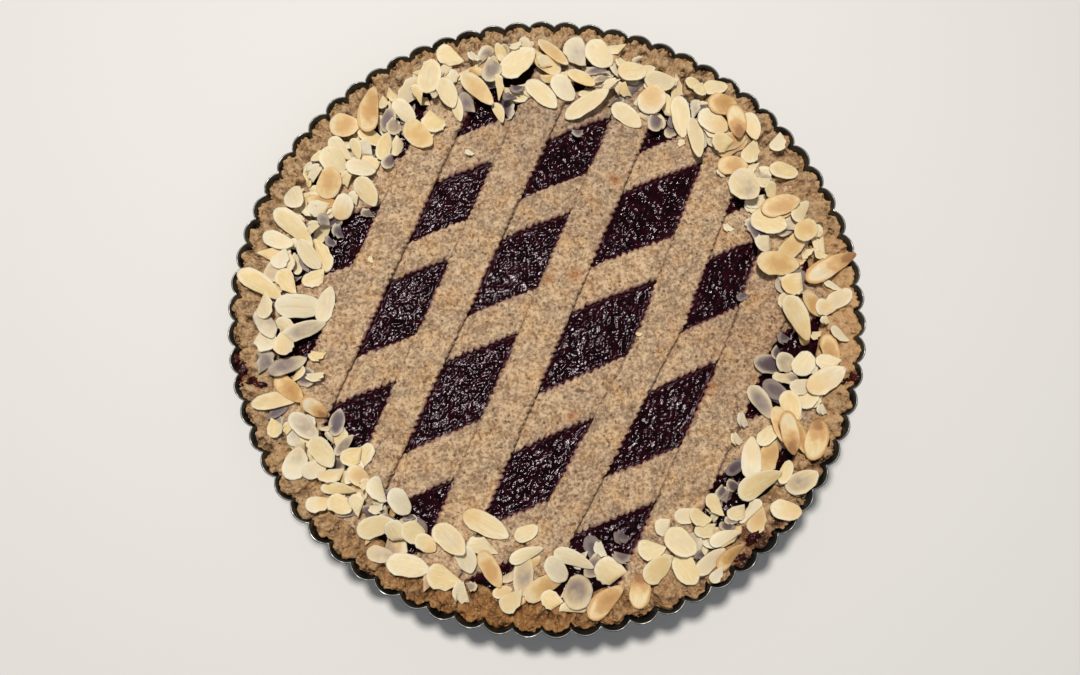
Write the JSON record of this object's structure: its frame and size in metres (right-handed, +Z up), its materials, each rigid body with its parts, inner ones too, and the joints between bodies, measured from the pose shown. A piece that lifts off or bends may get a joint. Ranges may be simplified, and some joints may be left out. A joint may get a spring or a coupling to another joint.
{
  "type": "linzer tart",
  "caption": "Round nut-dough tart in its fluted tin, filled with dark jam under a diagonal lattice, with a wreath of flaked almonds round the edge.",
  "frame": {"origin": "the point on the table under the middle of the tin, the bottom centre of the bounding box", "axes": "+Z up out of the open side of the tin, +X to the right and +Y away from the viewer as the picture shows the tart"},
  "size_m": [0.28, 0.28, 0.0323],
  "materials": {
    "tin_coating": "black non-stick coating, satin, bare steel at the cut rim",
    "nut_crust": "baked nut dough, crumbly and matt, browner on its crest",
    "dark_jam": "thick dark berry jam, bumpy and wet",
    "nut_dough": "baked nut dough, pale tan with fine dark nut specks",
    "flaked_almond": "cream flaked almond with toasted patches, satin"
  },
  "bodies": {
    "root": {"tin": "tin_coating", "crust": "nut_crust", "jam": "dark_jam", "lattice_lower_1": "nut_dough", "lattice_lower_2": "nut_dough", "lattice_lower_3": "nut_dough", "lattice_lower_4": "nut_dough", "lattice_lower_5": "nut_dough", "lattice_upper_1": "nut_dough", "lattice_upper_2": "nut_dough", "lattice_upper_3": "nut_dough", "lattice_upper_4": "nut_dough", "lattice_upper_5": "nut_dough", "almond_wreath": "flaked_almond"}
  },
  "joints": []
}
